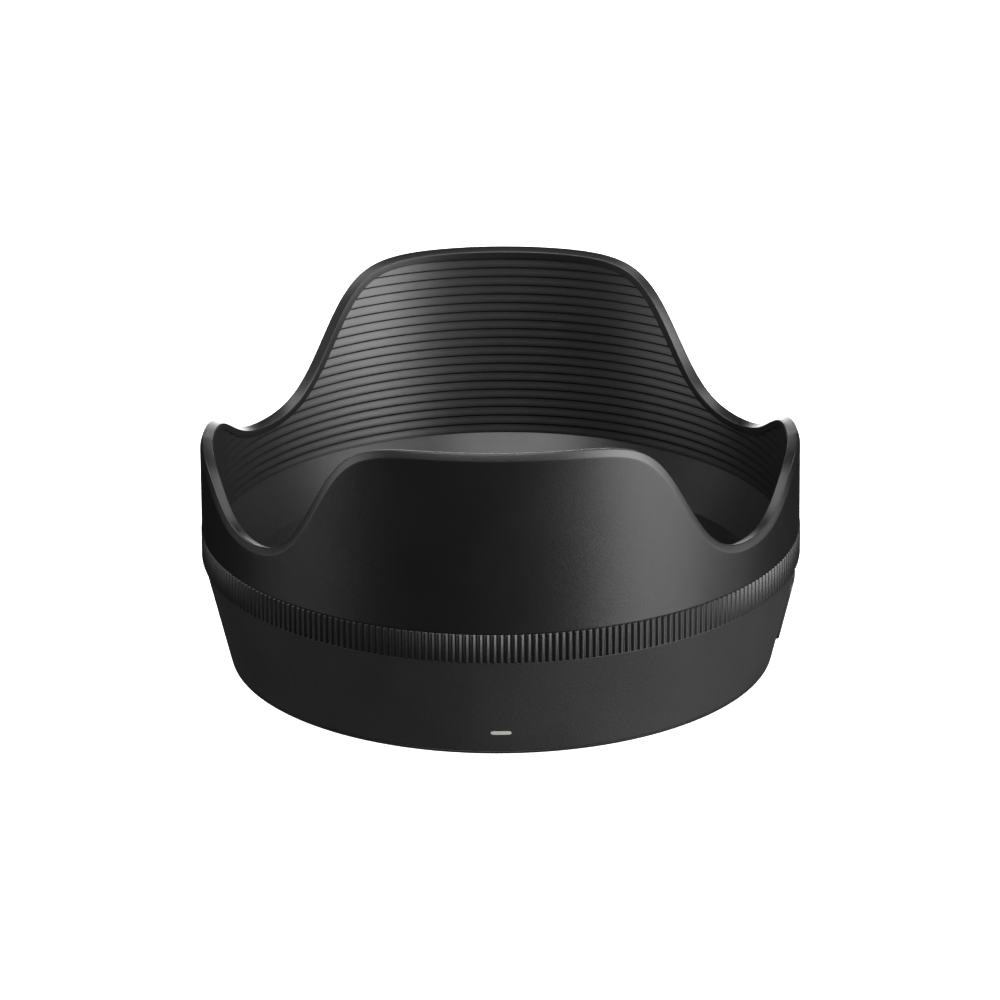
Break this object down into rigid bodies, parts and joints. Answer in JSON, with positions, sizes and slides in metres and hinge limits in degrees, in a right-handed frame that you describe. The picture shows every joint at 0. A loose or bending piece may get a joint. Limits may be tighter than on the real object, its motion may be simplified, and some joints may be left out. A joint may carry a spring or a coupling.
{
  "type": "lens hood",
  "caption": "Petal-shaped locking lens hood with ribbed inner wall, knurled grip ring, rubber sleeve, bayonet and spring release button.",
  "frame": {"origin": "centre of the base, where the bayonet ring's flange rests on a surface", "axes": "+Z along the optical axis towards the petals; -Y towards the tall petal above the index mark; +X towards the release button"},
  "size_m": [0.0982, 0.0982, 0.0529],
  "materials": {
    "shell_plastic": "satin black moulded polycarbonate",
    "knurl_plastic": "satin black moulded polycarbonate",
    "grip_rubber": "matt black fine-grained rubber",
    "ring_plastic": "semi-gloss black glass-filled plastic",
    "cover_plastic": "satin black acetal",
    "button_plastic": "satin black moulded plastic",
    "mark_paint": "pale grey-white filled paint",
    "steel": "plain machined and drawn steel"
  },
  "bodies": {
    "hood": {"petal_shell": "shell_plastic", "knurled_ring": "knurl_plastic", "grip_sleeve": "grip_rubber", "index_mark": "mark_paint", "bayonet_ring": "ring_plastic", "ring_screws": "steel", "latch_cover": "cover_plastic", "cover_screws": "steel", "button_springs": "steel", "latch_pivot_pin": "steel", "latch_spring": "steel"},
    "button": {"release_button": "button_plastic"},
    "latch": {"latch_lever": "cover_plastic"}
  },
  "joints": [
    {"name": "button_press", "type": "slide", "parent": "hood", "child": "button", "axis": [-1, 0, 0], "range_m": [0, 0.0008], "stiffness_N_per_m": 900, "springref_m": -0.0012, "deforming": ["button_springs", "latch_spring"]},
    {"name": "latch_rock", "type": "hinge", "parent": "hood", "child": "latch", "pos_m": [0.04367, -0.008, 0.01], "axis": [0, 0, 1], "range_deg": [0, 5.73]}
  ],
  "couplings": [
    {"joint": "latch_rock", "follows": "button_press", "rad_per_m": 125}
  ]
}
